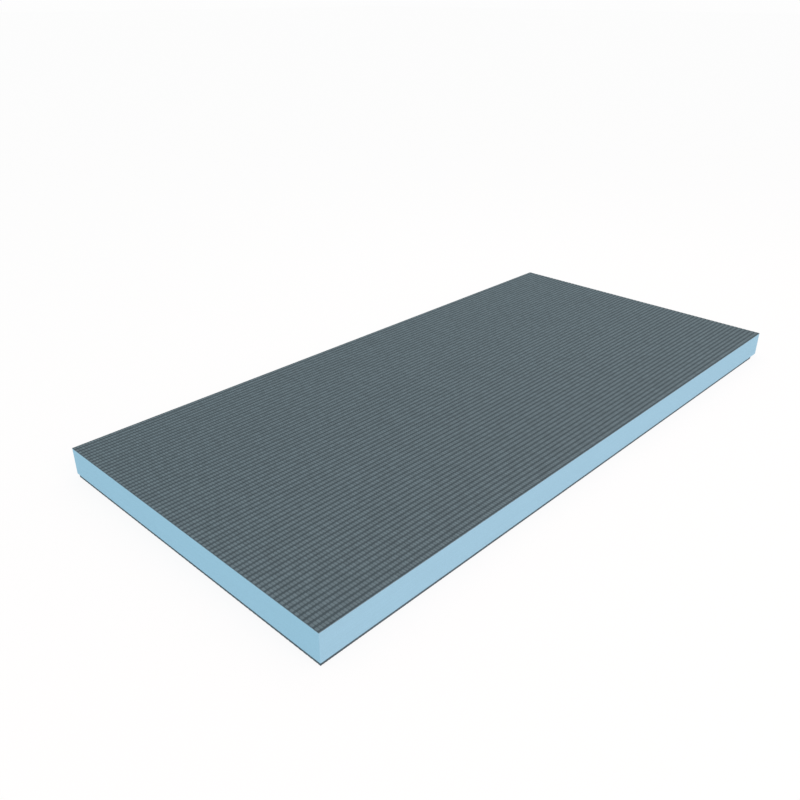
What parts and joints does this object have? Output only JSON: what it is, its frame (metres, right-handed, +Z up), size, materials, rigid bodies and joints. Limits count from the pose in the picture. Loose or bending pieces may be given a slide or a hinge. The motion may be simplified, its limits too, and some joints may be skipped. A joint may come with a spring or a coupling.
{
  "type": "foam tile backer board",
  "caption": "Flat rectangular foam board with thin waffled grey mortar coatings on its face and back, for fixing under tiles on walls and floors.",
  "frame": {"origin": "middle of the board's underside, on the floor that it lies on", "axes": "+X along the board's length, +Y across its width, +Z up out of the face that takes the tiles"},
  "size_m": [1.25, 0.6, 0.0515],
  "materials": {
    "foam": "sawn extruded polystyrene foam, matte, pale blue",
    "face_mortar": "polymer-modified mortar over glass-fibre mesh, matte blue-grey, waffled by the mesh",
    "back_mortar": "polymer-modified mortar over glass-fibre mesh, matte blue-grey, waffled by the mesh"
  },
  "bodies": {
    "root": {"foam_core": "foam", "face_coating": "face_mortar", "back_coating": "back_mortar"}
  },
  "joints": []
}
